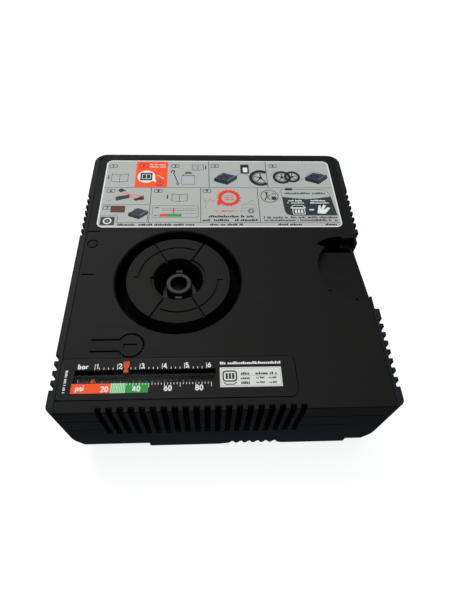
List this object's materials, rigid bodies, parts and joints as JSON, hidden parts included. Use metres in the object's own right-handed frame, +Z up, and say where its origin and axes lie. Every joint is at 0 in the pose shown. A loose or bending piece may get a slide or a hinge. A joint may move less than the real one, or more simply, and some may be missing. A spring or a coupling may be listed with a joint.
{
  "type": "tyre inflator compressor",
  "caption": "Flat square 12 V tyre inflator with a sealant-bottle dock, a straight sliding-pointer pressure gauge, a rocker switch and a push-to-bleed button.",
  "frame": {"origin": "middle of the footprint, on the surface that the skids stand on", "axes": "+X to the right, +Y to the back, +Z up; the gauge is at the front"},
  "size_m": [0.188, 0.204, 0.0649],
  "materials": {
    "case_plastic": "fine-textured moulding",
    "housing_plastic": "fine-textured moulding",
    "inner_plastic": "moulded",
    "panel_plastic": "printed satin panel",
    "clear_plastic": "clear",
    "label": "laminated print",
    "red_plastic": "satin",
    "natural_plastic": "natural nylon",
    "rubber": "matt",
    "steel": "zinc plated",
    "alu": "die cast",
    "brass": "turned",
    "copper_iron": "varnished stack",
    "wire": "insulation"
  },
  "bodies": {
    "housing": {"top_cover": "case_plastic", "lower_housing": "housing_plastic", "case_screws": "steel", "label_sheet": "label", "gauge_panel": "panel_plastic", "gauge_window": "clear_plastic", "info_plate": "label", "gauge_tube": "clear_plastic", "gauge_inlet_plug": "natural_plastic", "gauge_spring_seat": "natural_plastic", "gauge_spring": "steel", "valve_block": "alu", "valve_spring": "steel", "valve_block_screws": "steel", "dock_trough": "inner_plastic", "dock_disc": "case_plastic", "dock_screws": "steel", "bottle_spigot": "inner_plastic", "spigot_gasket": "rubber", "spigot_nut": "brass", "hose_bay": "inner_plastic", "hose_outlet": "steel", "outlet_nut": "brass", "cable_gland": "rubber", "switch_body": "inner_plastic", "switch_terminals": "brass", "pump_frame": "alu", "pump_grommets": "rubber", "pump_screws": "steel", "motor_can": "steel", "motor_magnets": "steel", "motor_end_cap": "inner_plastic", "motor_terminals": "brass", "motor_bushes": "brass", "crank_axle": "steel", "cylinder": "alu", "valve_plate": "steel", "head_gasket": "rubber", "reed_valve": "steel", "cylinder_head": "alu", "head_screws": "steel", "air_hoses": "rubber", "supply_wires": "wire", "motor_wire": "wire"},
    "release_button": {"release_button": "case_plastic"},
    "valve_plunger": {"valve_plunger": "natural_plastic", "valve_plunger_seal": "rubber"},
    "rocker": {"switch_rocker": "inner_plastic"},
    "gauge_piston": {"gauge_piston": "natural_plastic", "gauge_piston_ring": "red_plastic"},
    "target_marker": {"target_marker": "red_plastic", "marker_clip": "inner_plastic"},
    "rotor": {"motor_rotor": "copper_iron", "motor_shaft": "steel", "cooling_fan": "inner_plastic", "motor_pinion": "brass"},
    "crank": {"crank_gear": "natural_plastic", "crank_pin": "steel"},
    "piston": {"piston_rod": "natural_plastic", "piston_cup": "natural_plastic"}
  },
  "joints": [
    {"name": "button_press", "type": "hinge", "parent": "housing", "child": "release_button", "pos_m": [-0.0747, -0.0636, 0.06285], "axis": [0, 1, 0], "range_deg": [0, 5], "stiffness_Nm_per_rad": 0.6},
    {"name": "plunger_slide", "type": "slide", "parent": "housing", "child": "valve_plunger", "axis": [0, 0, -1], "range_m": [0, 0.0022], "deforming": ["valve_spring"]},
    {"name": "rocker_tilt", "type": "hinge", "parent": "housing", "child": "rocker", "pos_m": [-0.0895, 0.001, 0.0425], "axis": [0, 0, 1], "range_deg": [0, 16]},
    {"name": "pointer_slide", "type": "slide", "parent": "housing", "child": "gauge_piston", "axis": [1, 0, 0], "range_m": [0, 0.0623], "stiffness_N_per_m": 200, "deforming": ["gauge_spring"]},
    {"name": "marker_slide", "type": "slide", "parent": "housing", "child": "target_marker", "axis": [1, 0, 0], "range_m": [-0.0218, 0.045]},
    {"name": "motor_spin", "type": "hinge", "parent": "housing", "child": "rotor", "pos_m": [0.022, 0.076, 0.038], "axis": [1, 0, 0], "continuous": true},
    {"name": "crank_spin", "type": "hinge", "parent": "housing", "child": "crank", "pos_m": [0.022, 0.05108, 0.038], "axis": [1, 0, 0], "continuous": true},
    {"name": "piston_stroke", "type": "slide", "parent": "housing", "child": "piston", "axis": [0, 1, 0], "range_m": [0, 0.014]}
  ],
  "couplings": [
    {"joint": "plunger_slide", "follows": "button_press", "m_per_rad": 0.0211},
    {"joint": "crank_spin", "follows": "motor_spin", "ratio": -0.24}
  ]
}
